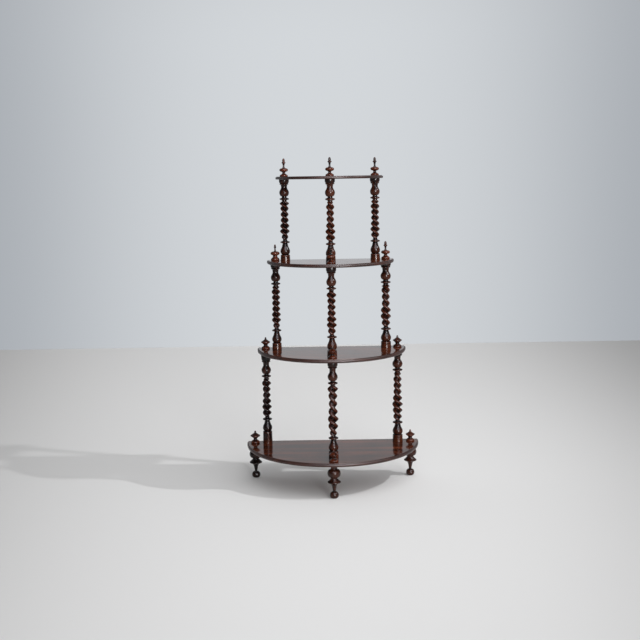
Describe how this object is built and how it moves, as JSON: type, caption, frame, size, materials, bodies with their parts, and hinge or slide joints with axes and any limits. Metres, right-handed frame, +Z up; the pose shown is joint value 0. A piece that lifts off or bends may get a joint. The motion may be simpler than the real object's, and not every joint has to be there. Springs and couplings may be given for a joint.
{
  "type": "etagere",
  "caption": "Half-round free-standing display whatnot with graduated shelves on turned barley-twist posts, pointed finials and turned feet.",
  "frame": {"origin": "on the floor, under the middle of the bounding box", "axes": "+Z up, +Y to the straight back edges of the shelves, +X to the right seen from the front"},
  "size_m": [0.69, 0.3449, 1.2688],
  "materials": {
    "board_wood": "polished",
    "post_wood": "polished",
    "finial_wood": "polished",
    "foot_wood": "polished"
  },
  "bodies": {
    "root": {"shelf_top": "board_wood", "finial_top_left": "finial_wood", "finial_top_right": "finial_wood", "finial_top_front": "finial_wood", "shelf_upper": "board_wood", "finial_upper_left": "finial_wood", "finial_upper_right": "finial_wood", "finial_upper_front": "finial_wood", "shelf_lower": "board_wood", "finial_lower_left": "finial_wood", "finial_lower_right": "finial_wood", "finial_lower_front": "finial_wood", "shelf_bottom": "board_wood", "finial_bottom_left": "finial_wood", "finial_bottom_right": "finial_wood", "finial_bottom_front": "finial_wood", "post_top_left": "post_wood", "post_top_right": "post_wood", "post_top_front": "post_wood", "post_middle_left": "post_wood", "post_middle_right": "post_wood", "post_middle_front": "post_wood", "post_lower_left": "post_wood", "post_lower_right": "post_wood", "post_lower_front": "post_wood", "foot_left": "foot_wood", "foot_right": "foot_wood", "foot_front": "foot_wood"}
  },
  "joints": []
}
